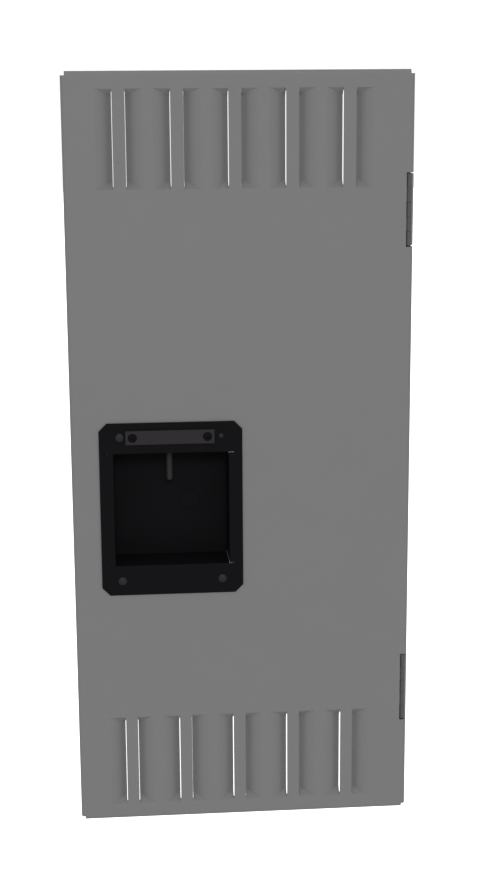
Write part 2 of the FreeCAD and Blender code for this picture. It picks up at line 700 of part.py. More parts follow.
def pocket_gasket():
    """White foam strips in the clearance between the pocket and the door cut-out."""
    ease = 0.1
    wall = POCKET_SHEET + ease
    x0, x1 = CUTOUT_X[0] + ease, FOAM_X[1]
    z0, z1 = CUTOUT_Z[0] + ease, CUTOUT_Z[1] - ease
    inner_x = (FOAM_X[0], POCKET_X[1] + wall)
    inner_z = (POCKET_Z[0] - wall, POCKET_Z[1] + wall)
    return box(x0, x1, ease, FOAM_T, z0, z1).cut(box(*inner_x, -1, 2 * FOAM_T, *inner_z))


def pocket_sealant():
    """White sealant beads in the pocket's four open corner joints, squeezed into the right relief slots."""
    t = POCKET_SHEET
    left, right = POCKET_X
    beads = []
    for z0, reach in zip((POCKET_Z[0], POCKET_Z[1] - FOLD_GAP), BEAD_REACH):
        z1 = z0 + FOLD_GAP
        beads.append(box(left - t, left, BEAD_FRONT, POCKET_DEPTH, z0, z1))
        bead = box(right - BEAD_PROUD, right + t, 0, POCKET_DEPTH, z0, z1)
        beads.append(join([bead, box(right + 1, RELIEF_X[1][1], -reach, 0, z0, z1)]))
    return group(beads)


def pocket_rivets():
    """Blind rivets through the pocket flange and the door: domed front, bulb behind."""
    rivets = []
    for x, z, radius in POCKET_RIVETS:
        shank = cylinder(V(x, -POCKET_SHEET, z), Y_AXIS, RIVET_R, POCKET_SHEET + SHEET + 3)
        head = aim(dome(radius, 0.28 * radius), V(x, -POCKET_SHEET, z), V(0, -1, 0))
        bulb = cylinder(V(x, SHEET, z), Y_AXIS, 2.6, 3)
        rivets.append(join([shank, head, bulb]))
    return group(rivets)


# ---------------------------------------------------------------- latch
def latch_strip():
    """Front strap plate that the bearing brackets are bolted through."""
    y = -POCKET_SHEET - STRIP_SHEET
    plate = box(*STRIP_X, y, -POCKET_SHEET, *STRIP_Z)
    plate = rounded(plate, 0.5, lambda edge: on_plane(edge, "y", y))
    return plate.cut(group(pocket_fixing_holes()))


def strip_screws():
    """Two button-head screws through strap plate, flange, door and bracket."""
    seat = -POCKET_SHEET - STRIP_SHEET
    head_h = FRONT_PROUD + seat + 0.25
    screw = round_screw(STRIP_HEAD_R, head_h, STRIP_SCREW_R, 14, 3)
    return group([aim(screw, V(x, seat, SHAFT_Z), V(0, -1, 0)) for x in STRIP_SCREW_X])


def bracket_webs():
    """Left side of each bracket's web: between its foot and the lever."""
    return (STRIP_SCREW_X[0] + 7, STRIP_SCREW_X[1] - 9.5)


def bearing_brackets():
    """Two angle brackets behind the door that carry the shaft."""
    thick = BRACKET_T
    y0 = SHEET + FIT
    low, high = SHAFT_Z - 8, SHAFT_Z + 8
    brackets = []
    for screw_x, web in zip(STRIP_SCREW_X, bracket_webs()):
        foot = box(min(web, screw_x - 7), max(web + thick, screw_x + 7), y0, y0 + thick, low, high)
        wall = box(web, web + thick, y0, SHAFT_Y + 8, low, high)
        ends = lambda edge: is_along(edge, X_AXIS) and on_plane(edge, "y", SHAFT_Y + 8)
        shape = join([foot, rounded(wall, 6, ends)])
        shape = shape.cut(cylinder(V(web - 5, SHAFT_Y, SHAFT_Z), X_AXIS, SHAFT_R + RUNNING, 15))
        brackets.append(shape.cut(cylinder(V(screw_x, 0, SHAFT_Z), Y_AXIS, STRIP_SCREW_R + RUNNING, THROUGH)))
    return group(brackets)


def strip_nuts():
    """Nuts behind the bracket feet."""
    seat = SHEET + BRACKET_T + FIT
    return group([aim(nut(8, 4, STRIP_SCREW_R + FIT), V(x, seat, SHAFT_Z), Y_AXIS) for x in STRIP_SCREW_X])


def latch_shaft():
    """Horizontal torque shaft behind the door."""
    right = bracket_webs()[1] + 8
    return cylinder(V(HOOK_X[0] - 2, SHAFT_Y, SHAFT_Z), X_AXIS, SHAFT_R, right - HOOK_X[0] + 2)


def latch_lever():
    """Round finger lever with a ball end, hanging from a hub on the shaft."""
    end = LEVER_END_Z + LEVER_R
    hub = cylinder(V(LEVER_X - LEVER_HUB, SHAFT_Y, SHAFT_Z), X_AXIS, HUB_R, 2 * LEVER_HUB)
    bar = cylinder(V(LEVER_X, SHAFT_Y, end), Z_AXIS, LEVER_R, SHAFT_Z - end)
    tip = Part.makeSphere(LEVER_R, V(LEVER_X, SHAFT_Y, end))
    bore = cylinder(V(LEVER_X - THROUGH / 2, SHAFT_Y, SHAFT_Z), X_AXIS, SHAFT_R + BORE_EASE, THROUGH)
    return join([hub, bar, tip]).cut(bore)


def latch_hook():
    """Hook plate on the left end of the shaft; its prong rises behind the striker."""
    x0, x1 = HOOK_X
    tip = SHAFT_Y + HOOK_REACH + HOOK_T
    hub = cylinder(V(x0, SHAFT_Y, SHAFT_Z), X_AXIS, HUB_R, x1 - x0)
    arm = box(x0, x1, SHAFT_Y, tip, SHAFT_Z - 4, SHAFT_Z + 3)
    prong = box(x0, x1, SHAFT_Y + HOOK_REACH, tip, SHAFT_Z - 4, SHAFT_Z + 9)
    bore = cylinder(V(x0 - 1, SHAFT_Y, SHAFT_Z), X_AXIS, SHAFT_R + BORE_EASE, THROUGH)
    return join([hub, arm, prong]).cut(bore)


def latch_collars():
    """Two collars that hold the shaft between its brackets."""
    width = 6.0
    play = 0.3
    first, second = bracket_webs()
    rings = []
    for x in (first + BRACKET_T + play, second - width - play):
        bore = cylinder(V(x - 1, SHAFT_Y, SHAFT_Z), X_AXIS, SHAFT_R + BORE_EASE, width + 2)
        rings.append(cylinder(V(x, SHAFT_Y, SHAFT_Z), X_AXIS, HUB_R - 0.5, width).cut(bore))
    return group(rings)


def latch_spring():
    """Torsion spring round the shaft that brings the lever back upright."""
    wire_r = 0.8
    coil_r = 5.4
    turns = 5
    pitch = 1.75
    start = LEVER_X - LEVER_HUB - turns * pitch - 2 * wire_r
    helix = Part.makeHelix(pitch, turns * pitch, coil_r)
    seed = Part.Wire(Part.makeCircle(wire_r, V(coil_r, 0, 0), Y_AXIS))
    coil = Part.Wire(helix).makePipeShell([seed], True, True)
    return aim(coil, V(start, SHAFT_Y, SHAFT_Z), X_AXIS)


def striker():
    """Bracket on the left side wall; the latch hook rises behind its front plate."""
    wall = SHEET + FIT
    low = SHAFT_Z + STRIKER_GAP
    rear = SHAFT_Y + HOOK_REACH - 4.6
    front = rear - 2.8
    tip = HOOK_X[1] + 3
    foot = box(wall, wall + BRACKET_T, front, 56, low, low + 34)
    plate = box(wall, tip, front, rear, low, low + 22)
    plate = rounded(plate, 5, lambda edge: is_along(edge, Y_AXIS) and on_plane(edge, "x", tip))
    holes = [cylinder(V(0, STRIKER_SCREW_Y, z), X_AXIS, FLUSH_R + 0.1, THROUGH)
             for z in striker_screw_heights()]
    return join([foot, plate]).cut(group(holes))


def striker_screw_heights():
    """Heights of the two striker screws."""
    low = SHAFT_Z + STRIKER_GAP
    return (low + 8, low + 26)


def striker_screws():
    """Screws that hold the striker on the side wall."""
    screw = round_screw(3.8, 2.2, FLUSH_R, BRACKET_T + SHEET, 2.5)
    seat = SHEET + FIT + BRACKET_T
    return group([aim(screw, V(seat, STRIKER_SCREW_Y, z), X_AXIS) for z in striker_screw_heights()])


# ---------------------------------------------------------------- shelves and batteries
def shelf(z0):
    """Slotted tray with side flanges turned down and stop lips at front and back."""
    left, right = SHEET + 0.05, WIDTH - SHEET - 0.05
    front, back = SHELF_Y
    inset = 6.0
    plate = box(left, right, front, back, z0, z0 + SHEET)
    stops = [box(left + inset, right - inset, y, y + SHEET, z0, z0 + 12) for y in (front, back - SHEET)]
    flanges = [box(x, x + SHEET, front + inset, back - inset, z0 - 20, z0 + SHEET)
               for x in (left, right - SHEET)]
    cutters = [aim(flush_hole(FLUSH_HEAD_R, FLUSH_R, THROUGH), at, out) for at, out in shelf_screw_spots()]
    return join([plate] + stops + flanges).cut(group(cutters + shelf_slots(z0)))


def shelf_slots(z0):
    """Cutters for a shelf's air slots and its two strap slots."""
    low, high = z0 - 1, z0 + SHEET + 1
    middle = WIDTH / 2
    strap_half = STRAP_W / 2 + 2
    slots = [box(middle - strap_half, middle + strap_half, y0, y0 + 3.8, low, high)
             for y0 in (BATTERY_Y - 4, BATTERY_Y + BATTERY_W + 0.2)]
    air_width = 12.0
    for i in range(6):
        x = 55 + i * 47.5
        if abs(x + air_width / 2 - middle) > air_width:
            slots.append(box(x, x + air_width, 85, 210, low, high))
    return slots


def battery_case(z0):
    """Moulded case with five partitions and two raised bands, open at the top."""
    x0 = battery_x()
    x1 = x0 + BATTERY_L
    y0, y1 = BATTERY_Y, BATTERY_Y + BATTERY_W
    shape = rounded(box(x0, x1, y0, y1, z0, z0 + CASE_H), 6, lambda edge: is_along(edge, Z_AXIS))
    cells = [box(left, right, y0 + WALL, y1 - WALL, z0 + WALL, z0 + CASE_H + 1)
             for left, right in cell_spans()]
    band_t, band_h = 1.5, 6.0
    core = box(x0 + 1, x1 - 1, y0 + 1, y1 - 1, z0, z0 + CASE_H)
    half = STRAP_W / 2 + 5
    strap_ways = [box(WIDTH / 2 - half, WIDTH / 2 + half, y, y + 2 * band_t, z0, z0 + CASE_H)
                  for y in (y0 - 2 * band_t, y1)]
    bands = [box(x0 - band_t, x1 + band_t, y0 - band_t, y1 + band_t, z0 + h, z0 + h + band_h)
             for h in (60.0, 130.0)]
    bands = [band.cut(group([core] + strap_ways)) for band in bands]
    return shape.cut(group(cells)).fuse(group(bands)).removeSplitter()


def cell_spans():
    """Left and right of each battery cell."""
    pitch = (BATTERY_L - WALL) / CELLS
    return [(battery_x() + WALL + i * pitch, battery_x() + (i + 1) * pitch) for i in range(CELLS)]


def battery_lid(z0):
    """Lid with grooves and a ring with a coin slot round each vent plug."""
    x0 = battery_x()
    y0, y1 = BATTERY_Y, BATTERY_Y + BATTERY_W
    top = z0 + LID_H
    shape = rounded(box(x0, x0 + BATTERY_L, y0, y1, z0, top), 6, lambda edge: is_along(edge, Z_AXIS))
    shape = rounded(shape, 2, lambda edge: on_plane(edge, "z", top))
    cutters = []
    for y in (80.0, 215.0):
        for left, right in ((x0 + 70, WIDTH / 2 - 26), (WIDTH / 2 + 26, x0 + BATTERY_L - 70)):
            cutters.append(box(left, right, y, y + 3, top - 1.5, top + 1))
    for left, right in cell_spans():
        x = (left + right) / 2
        if abs(x - WIDTH / 2) > 2 * PLUG_R:
            plug = cylinder(V(x, PLUG_Y, top - 1.2), Z_AXIS, PLUG_R, 5)
            cutters.append(plug.cut(cylinder(V(x, PLUG_Y, z0), Z_AXIS, PLUG_R - 1.5, LID_H + 5)))
            cutters.append(box(x - 9, x + 9, PLUG_Y - 1.2, PLUG_Y + 1.2, top - 1, top + 1))
    return shape.cut(group(cutters))


def plate_packs(z0):
    """Six plate and separator packs, one in each cell."""
    ease = 0.5
    edge = WALL + ease
    return group([box(left + ease, right - ease, BATTERY_Y + edge, BATTERY_Y + BATTERY_W - edge,
                      z0 + edge, z0 + CASE_H - 10) for left, right in cell_spans()])


def battery_posts():
    """Round posts with threaded studs on top."""
    posts = []
    for at in post_spots():
        base = cylinder(at, Z_AXIS, POST_R, POST_H)
        base = rounded(base, 1, lambda edge: on_plane(edge, "z", at.z + POST_H))
        posts.append(join([base, cylinder(at, Z_AXIS, STUD_R, STUD_H)]))
    return group(posts)


def cable_lugs():
    """Ring lugs on the posts, with barrels pointing at the door."""
    ring_t = 3.0
    barrel_start = 60.0
    barrel_length = 14.5
    lugs = []
    for at in post_spots():
        z = at.z + POST_H + FIT
        ring = cylinder(V(at.x, at.y, z), Z_AXIS, POST_R - 1, ring_t)
        neck = box(at.x - 6, at.x + 6, CABLE_END_Y, at.y, z, z + ring_t)
        stud_hole = cylinder(V(at.x, at.y, z - 1), Z_AXIS, STUD_R + 0.1, ring_t + 2)
        axis = V(at.x, barrel_start, at.z + CABLE_RISE)
        barrel = cylinder(axis, Y_AXIS, CABLE_R + 1.8, barrel_length)
        bore = cylinder(axis - V(0, 1, 0), Y_AXIS, CABLE_R + RUNNING, barrel_length + 0.5)
        lugs.append(join([ring.fuse(neck).cut(stud_hole), barrel]).cut(bore))
    return group(lugs)


def terminal_nuts():
    """Nuts that clamp the lugs on their studs."""
    seat = POST_H + 3 + 2 * FIT
    return group([aim(nut(13, 6.5, STUD_R + FIT), at + V(0, 0, seat), Z_AXIS) for at in post_spots()])


def strap(z0):
    """Webbing loop round a battery and its shelf plate."""
    x0 = WIDTH / 2 - STRAP_W / 2
    y0, y1 = BATTERY_Y - STRAP_GAP, BATTERY_Y + BATTERY_W + STRAP_GAP
    low, high = z0 - STRAP_DROP, lid_top(z0) + STRAP_GAP
    t = STRAP_T
    corner = lambda edge: is_along(edge, X_AXIS)
    outer = rounded(box(x0, x0 + STRAP_W, y0 - t, y1 + t, low - t, high + t), 4, corner)
    return outer.cut(rounded(box(x0 - 1, x0 + STRAP_W + 1, y0, y1, low, high), 2.2, corner))


def strap_buckles():
    """Flat cam buckle on the top run of each strap."""
    middle = WIDTH / 2
    plate_t = 4.0
    buckles = []
    for z0 in SHELF_Z:
        base = lid_top(z0) + STRAP_GAP + STRAP_T + 0.1
        top = base + plate_t
        frame = rounded(box(middle - 23, middle + 23, 120, 165, base, top), 1.5,
                        lambda edge: on_plane(edge, "z", top))
        cam = cylinder(V(middle - 18, 132, top + 0.5), X_AXIS, 3.5, 36)
        tab = box(middle - 16, middle + 16, 132, 160, top + 0.5, top + 3)
        buckles.append(join([frame, cam, tab]))
    return group(buckles)


# ---------------------------------------------------------------- cables
def series_cable():
    """Link from the lower battery's right post up to the upper battery's right post."""
    low, high = [at + V(0, 0, CABLE_RISE) for at in post_spots() if at.x > WIDTH / 2]
    x = low.x
    return cable([V(x, CABLE_END_Y, low.z), V(x, CABLE_Y, low.z), V(x, CABLE_Y, high.z),
                  V(x, CABLE_END_Y, high.z)], CABLE_BEND)


def negative_cable():
    """From the lower battery's left post down to the middle gland."""
    start = post_spots()[0] + V(0, 0, CABLE_RISE)
    x = 44.5
    turn_z = 78.0
    behind_pocket = CABLE_Y + 5
    return cable([V(start.x, CABLE_END_Y, start.z), V(start.x, behind_pocket, start.z),
                  V(start.x, behind_pocket, 280), V(x, CABLE_Y, 240), V(x, CABLE_Y, turn_z),
                  V(GLAND_X, GLAND_Y[1], turn_z), V(GLAND_X, GLAND_Y[1], GLAND_CABLE_END)], TIGHT_BEND)


def positive_cable():
    """From the upper battery's left post down to the isolator."""
    start = post_spots()[2] + V(0, 0, CABLE_RISE)
    x = 33.0
    run = 222.0
    low = 107.0
    return cable([V(start.x, CABLE_END_Y, start.z), V(start.x, CABLE_Y, start.z), V(x, CABLE_Y, start.z - 30),
                  V(x, CABLE_Y, low), V(x, run, low), V(ISO_X[0] - 0.1, run, low)], CABLE_BEND)


def output_cable():
    """From the isolator to the rear gland."""
    run = GLAND_Y[2]
    low = 66.0
    return cable([V(ISO_X[0] - 0.1, run, low), V(GLAND_X, run, low), V(GLAND_X, run, GLAND_CABLE_END)],
                 CABLE_BEND)


# ---------------------------------------------------------------- isolator
def isolator_middle():
    """Centre of the isolator's knob shaft, on the body's front."""
    return V((ISO_X[0] + ISO_X[1]) / 2, ISO_Y[0], (ISO_Z[0] + ISO_Z[1]) / 2)


def isolator_body():
    """Moulded switch body on the back wall, with an ear and a corner for its two screws."""
    middle = isolator_middle()
    ear_end = ISO_X[1] + 16
    shape = rounded(box(*ISO_X, *ISO_Y, *ISO_Z), 8, lambda edge: is_along(edge, Y_AXIS))
    shape = rounded(shape, 2, lambda edge: on_plane(edge, "y", ISO_Y[0]))
    collar = cylinder(middle + V(0, -2, 0), Y_AXIS, 18, 4)
    ear = rounded(box(ISO_X[0], ear_end, ISO_Y[1] - EAR_T, ISO_Y[1], middle.z - 9, middle.z + 9), 6,
                  lambda edge: is_along(edge, Y_AXIS) and on_plane(edge, "x", ear_end))
    cutters = [cylinder(middle + V(0, -5, 0), Y_AXIS, KNOB_SHAFT_R + RUNNING, 25)]
    for at in isolator_screw_spots():
        front = at + V(0, -45, 0)
        cutters.append(cylinder(front, Y_AXIS, FLUSH_R + 0.1, 60))
        cutters.append(cylinder(front, Y_AXIS, 4.2, 45))
    return join([shape, collar, ear]).cut(group(cutters))


def isolator_screw_spots():
    """Screw seats of the isolator: one in its corner, one in its ear."""
    seat = ISO_Y[1] - EAR_T
    return [V(ISO_X[0] + 8, seat, ISO_Z[1] - 8), V(ISO_X[1] + 9, seat, isolator_middle().z)]


def isolator_screws():
    """Two screws into the back wall."""
    screw = round_screw(3.8, 2.2, FLUSH_R, EAR_T - 0.2, 2.5)
    return group([aim(screw, at, V(0, -1, 0)) for at in isolator_screw_spots()])


def isolator_knob():
    """Turning knob with a grip bar and a shaft that runs in the body."""
    middle = isolator_middle()
    face = middle.y - KNOB_GAP - KNOB_T
    grip_front = middle.y - GRIP_FRONT
    half = KNOB_R - 3
    disc = cylinder(V(middle.x, face, middle.z), Y_AXIS, KNOB_R, KNOB_T)
    disc = rounded(disc, 2, lambda edge: on_plane(edge, "y", face))
    grip = box(middle.x - half, middle.x + half, grip_front, face + 1, middle.z - 5, middle.z + 5)
    grip = rounded(grip, 3, lambda edge: on_plane(edge, "y", grip_front))
    shaft = cylinder(middle + V(0, -4, 0), Y_AXIS, KNOB_SHAFT_R, 20)
    return join([disc, grip, shaft])


# ---------------------------------------------------------------- cable glands
def gland_screw_spots():
    """Screws that hold the gland bracket's feet on the floor."""
    return [V(GLAND_X, 104, SHEET), V(GLAND_X, 242, SHEET)]


def gland_bracket():
    """Raised plate over the floor cut-out that carries the glands, on two legs with feet."""
    x0, x1 = 7.0, 47.0
    front, back = 110.0, 238.0
    floor = SHEET + FIT
    top = GLAND_PLATE_Z + SHEET
    plate = box(x0, x1, front, back, GLAND_PLATE_Z, top)
    legs = [box(x0, x1, y, y + SHEET, floor, top) for y in (front, back - SHEET)]
    front_foot = box(x0, x1, front - 12, front + SHEET, floor, floor + SHEET)
    rear_foot = box(x0 + 2, x1, back - SHEET, back + 7.5, floor, floor + SHEET)
    cutters = [cylinder(V(GLAND_X, y, GLAND_PLATE_Z - 5), Z_AXIS, GLAND_HOLE_R + 0.1, THROUGH)
               for y in GLAND_Y]
    cutters += [cylinder(at - V(0, 0, 5), Z_AXIS, FLUSH_R + 0.1, THROUGH) for at in gland_screw_spots()]
    return join([plate, front_foot, rear_foot] + legs).cut(group(cutters))


def gland_screws():
    """Screws through the gland bracket's feet."""
    screw = round_screw(FLUSH_HEAD_R, 2.0, FLUSH_R, 2 * SHEET, 2.5)
    seat = V(0, 0, SHEET + 2 * FIT)
    return group([aim(screw, at + seat, Z_AXIS) for at in gland_screw_spots()])


def cable_glands():
    """Moulded gland bodies with their ribbed dome nuts, pointing down."""
    dome_r, dome_low, dome_high = 13.5, -22.0, -5.0
    ribs = 12
    glands = []
    for y in GLAND_Y:
        seat = V(GLAND_X, y, GLAND_PLATE_Z - FIT)
        thread = cylinder(seat, Z_AXIS, GLAND_HOLE_R, 11)
        collar = aim(hexagon(30, 5), seat, V(0, 0, -1))
        dome_nut = cylinder(seat + V(0, 0, dome_low), Z_AXIS, dome_r, dome_high - dome_low)
        dome_nut = rounded(dome_nut, 3, lambda edge: on_plane(edge, "z", seat.z + dome_low))
        parts = [thread, collar, dome_nut]
        for i in range(ribs):
            rib = box(dome_r - 1, dome_r + 0.7, -1, 1, dome_low + 5, dome_high - 1)
            rib.rotate(V(0, 0, 0), Z_AXIS, 360 * i / ribs)
            rib.translate(seat)
            parts.append(rib)
        glands.append(join(parts).cut(cylinder(seat + V(0, 0, -30), Z_AXIS, GLAND_BORE_R + 2, 50)))
    return group(glands)


def gland_seals():
    """Rubber sleeves inside the glands; the front one takes a thinner cable."""
    length = 26.0
    thin_bore = 4.0
    seals = []
    for y in GLAND_Y:
        bottom = V(GLAND_X, y, GLAND_PLATE_Z - 21)
        bore = thin_bore if y == GLAND_Y[0] else CABLE_R + RUNNING
        sleeve = cylinder(bottom, Z_AXIS, GLAND_BORE_R + 2 - FIT, length)
        seals.append(sleeve.cut(cylinder(bottom - V(0, 0, 1), Z_AXIS, bore, length + 2)))
    return group(seals)


def gland_nuts():
    """Lock nuts on top of the gland bracket."""
    top = GLAND_PLATE_Z + SHEET + FIT
    return group([aim(nut(30, 5, GLAND_HOLE_R + FIT), V(GLAND_X, y, top), Z_AXIS) for y in GLAND_Y])


# ---------------------------------------------------------------- all pieces
def pieces():
    """Node name and shape of every piece."""
    nodes = {
        "body_wrap": body_wrap(),
        "top_panel": top_panel(),
        "floor_panel": floor_panel(),
        "panel_screws": flush_screws(panel_screw_spots()),
        "shelf_screws": flush_screws(shelf_screw_spots()),
        "door_gasket": door_gasket(),
        "earth_stud": earth_stud(),
        "hinge_body_leaves": group([body_leaf(zc) for zc in HINGE_HEIGHTS]),
        "hinge_pins": hinge_pins(),
        "hinge_leaf_screws": hinge_leaf_screws(),
        "striker": striker(),
        "striker_screws": striker_screws(),
        "battery_posts": battery_posts(),
        "cable_lugs": cable_lugs(),
        "terminal_nuts": terminal_nuts(),
        "strap_buckles": strap_buckles(),
        "series_cable": series_cable(),
        "negative_cable": negative_cable(),
        "positive_cable": positive_cable(),
        "output_cable": output_cable(),
        "isolator_body": isolator_body(),
        "isolator_screws": isolator_screws(),
        "isolator_knob": isolator_knob(),
        "gland_bracket": gland_bracket(),
        "gland_screws": gland_screws(),
        "cable_glands": cable_glands(),
        "gland_seals": gland_seals(),
        "gland_nuts": gland_nuts(),
        "door_panel": door_panel(),
        "door_stiffener": door_stiffener(),
        "hinge_door_leaves": group([door_leaf(zc) for zc in HINGE_HEIGHTS]),
        "hinge_studs": hinge_studs(),
        "hinge_nuts": hinge_nuts(),
        "latch_pocket": latch_pocket(),
        "pocket_gasket": pocket_gasket(),
        "pocket_sealant": pocket_sealant(),
        "pocket_rivets": pocket_rivets(),
        "latch_strip": latch_strip(),
        "strip_screws": strip_screws(),
        "strip_nuts": strip_nuts(),
        "bearing_brackets": bearing_brackets(),
        "latch_spring": latch_spring(),
        "latch_shaft": latch_shaft(),
        "latch_lever": latch_lever(),
        "latch_hook": latch_hook(),
        "latch_collars": latch_collars(),
    }
    for name, z0 in zip(("lower", "upper"), SHELF_Z):
        seat = z0 + SHEET
        nodes[name + "_shelf"] = shelf(z0)
        nodes[name + "_battery_case"] = battery_case(seat)
        nodes[name + "_battery_lid"] = battery_lid(seat + CASE_H)
        nodes[name + "_plate_packs"] = plate_packs(seat)
        nodes[name + "_strap"] = strap(z0)
    return nodes


def main():
    """Build every piece, move it to the row frame and write its STEP file."""
    os.makedirs("parts", exist_ok=True)
    for name, shape in pieces().items():
        moved = shape.copy()
        moved.translate(SHIFT)
        moved.exportStep("parts/" + name + ".step")
        print(name, len(moved.Solids), moved.isValid(), round(moved.Volume, 1))


main()
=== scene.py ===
"""Looks of the wall-hung battery cabinet: materials, soft pieces, floor, light and camera. Metres."""
import bpy
import json
import math
from mathutils import Matrix, Vector


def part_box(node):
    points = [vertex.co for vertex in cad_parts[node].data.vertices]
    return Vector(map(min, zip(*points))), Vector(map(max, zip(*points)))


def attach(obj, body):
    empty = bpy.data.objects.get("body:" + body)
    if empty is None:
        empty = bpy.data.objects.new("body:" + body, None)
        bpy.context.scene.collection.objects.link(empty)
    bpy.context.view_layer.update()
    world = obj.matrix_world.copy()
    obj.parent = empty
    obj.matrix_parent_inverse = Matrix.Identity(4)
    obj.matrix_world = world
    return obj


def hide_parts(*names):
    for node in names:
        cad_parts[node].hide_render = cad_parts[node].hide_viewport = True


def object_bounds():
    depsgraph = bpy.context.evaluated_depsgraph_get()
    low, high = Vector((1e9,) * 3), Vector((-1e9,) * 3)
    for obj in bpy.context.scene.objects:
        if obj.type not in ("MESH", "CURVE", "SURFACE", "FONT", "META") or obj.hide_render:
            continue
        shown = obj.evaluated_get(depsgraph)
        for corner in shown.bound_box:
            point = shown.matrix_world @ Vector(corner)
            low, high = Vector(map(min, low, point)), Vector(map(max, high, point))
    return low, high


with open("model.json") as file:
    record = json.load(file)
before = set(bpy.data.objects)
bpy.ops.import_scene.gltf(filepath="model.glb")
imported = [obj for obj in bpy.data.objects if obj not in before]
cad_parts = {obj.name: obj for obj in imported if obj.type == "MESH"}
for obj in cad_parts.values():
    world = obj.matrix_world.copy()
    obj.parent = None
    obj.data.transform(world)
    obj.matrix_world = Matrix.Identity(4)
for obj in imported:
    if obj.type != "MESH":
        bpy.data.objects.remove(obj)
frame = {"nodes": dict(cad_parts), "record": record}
cad_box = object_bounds()

MM = 0.001
NODES = frame["nodes"]

# ---- camera, in shares of the door's width and height, measured from its lower left front corner ----
CAMERA_ACROSS = 0.1259        # of the door's width, from its left edge
CAMERA_BACK = 2.1213          # of the door's height, in front of its face
CAMERA_UP = 0.9988            # of the door's height
CAMERA_YAW = 4.788            # degrees to the right
CAMERA_PITCH = 12.522         # degrees down
CAMERA_ROLL = -0.353
LENS = 68.02
SENSOR = 36.0

# ---- light ----
SKY_UP = 0.93                 # radiance from straight above
SKY_SIDE = 0.645
SKY_DOWN = 0.36
KEY = (1.28, 0.0, 24.0, 14.0)         # strength, degrees right of the front, degrees up, softness
FILLS = ((0.4, 140.0, 30.0, 50.0), (0.4, -140.0, 30.0, 50.0))
FLOOR_DROP = 0.30             # the cabinet hangs this far above the floor
FLOOR_HALF = 14.0             # half the floor's side

# ---- soft pieces ----
WEBBING_T = 1.8 * MM
WEBBING_RIBS = 12
RIB_HEIGHT = 0.06 * MM
WEBBING_BEND = 3.1 * MM       # radius of its middle line at the battery's edges
WEBBING_STEP = 9 * MM         # spacing of the sections along a straight run
TAIL_T = 1.6 * MM
TAIL_LENGTH = 48 * MM
TAIL_CLEAR = 0.15 * MM        # gap between a strap and its loose end
TAIL_LIFT = 3.2 * MM          # how far a strap's loose end stands up
SEAL_SIDE = 7.5 * MM          # width of the door seal at the sides and top
SEAL_FOOT = 5.0 * MM          # and along the bottom
HINGE_GAP = 76 * MM           # break in the door seal at each hinge
FOAM_LEFT = 5.5 * MM          # widths of the pocket's foam strips
FOAM_RIGHT = 4.0 * MM
POCKET_WALL = 1.7 * MM        # pocket sheet and clearance


# ---------------------------------------------------------------- node helpers
def new_material(name):
    """Empty node material: returns the material, its nodes, its links and its main shader."""
    material = bpy.data.materials.new(name)
    material.use_nodes = True
    tree = material.node_tree
    shader = tree.nodes["Principled BSDF"]
    return material, tree.nodes, tree.links, shader


def place(nodes):
    """Object coordinates, in metres in the cabinet's own frame."""
    return nodes.new("ShaderNodeTexCoord").outputs["Object"]


def noise(nodes, links, coords, period, detail=3.0, rough=0.55):
    """Noise whose features are about a period across, in metres."""
    node = nodes.new("ShaderNodeTexNoise")
    node.inputs["Scale"].default_value = 1.0 / period
    node.inputs["Detail"].default_value = detail
    node.inputs["Roughness"].default_value = rough
    links.new(coords, node.inputs["Vector"])
    return node.outputs["Fac"]


def spread(nodes, links, value, low, high):
    """Maps a 0.3 to 0.7 noise to a range."""
    node = nodes.new("ShaderNodeMapRange")
    node.inputs["From Min"].default_value = 0.3
    node.inputs["From Max"].default_value = 0.7
    node.inputs["To Min"].default_value = low
    node.inputs["To Max"].default_value = high
    links.new(value, node.inputs["Value"])
    return node.outputs["Result"]


def math_node(nodes, links, operation, first, second):
    """One math node; each input is a socket or a number."""
    node = nodes.new("ShaderNodeMath")
    node.operation = operation
    for socket, value in zip(node.inputs, (first, second)):
        if isinstance(value, (int, float)):
            socket.default_value = value
        else:
            links.new(value, socket)
    return node.outputs[0]


def tint(nodes, links, colour, factor):
    """A colour multiplied by a value socket."""
    node = nodes.new("ShaderNodeVectorMath")
    node.operation = "SCALE"
    node.inputs[0].default_value = colour
    links.new(factor, node.inputs["Scale"])
    return node.outputs["Vector"]


def blend_colour(nodes, links, factor, first, second):
    """Mix of two colours by a value socket."""
    node = nodes.new("ShaderNodeMix")
    node.data_type = "RGBA"
    links.new(factor, node.inputs["Factor"])
    for socket, value in (("A", first), ("B", second)):
        target = [s for s in node.inputs if s.name == socket and s.type == "RGBA"][0]
        if isinstance(value, tuple):
            target.default_value = (*value, 1)
        else:
            links.new(value, target)
    return [s for s in node.outputs if s.type == "RGBA"][0]


def surface(nodes, links, shader, height, depth, edge=0.0, strength=1.0):
    """Bump of a height socket, on top of softened edges."""
    bump = nodes.new("ShaderNodeBump")
    bump.inputs["Distance"].default_value = depth
    bump.inputs["Strength"].default_value = strength
    links.new(height, bump.inputs["Height"])
    if edge:
        bevel = nodes.new("ShaderNodeBevel")
        bevel.samples = 4
        bevel.inputs["Radius"].default_value = edge
        links.new(bevel.outputs["Normal"], bump.inputs["Normal"])
    links.new(bump.outputs["Normal"], shader.inputs["Normal"])


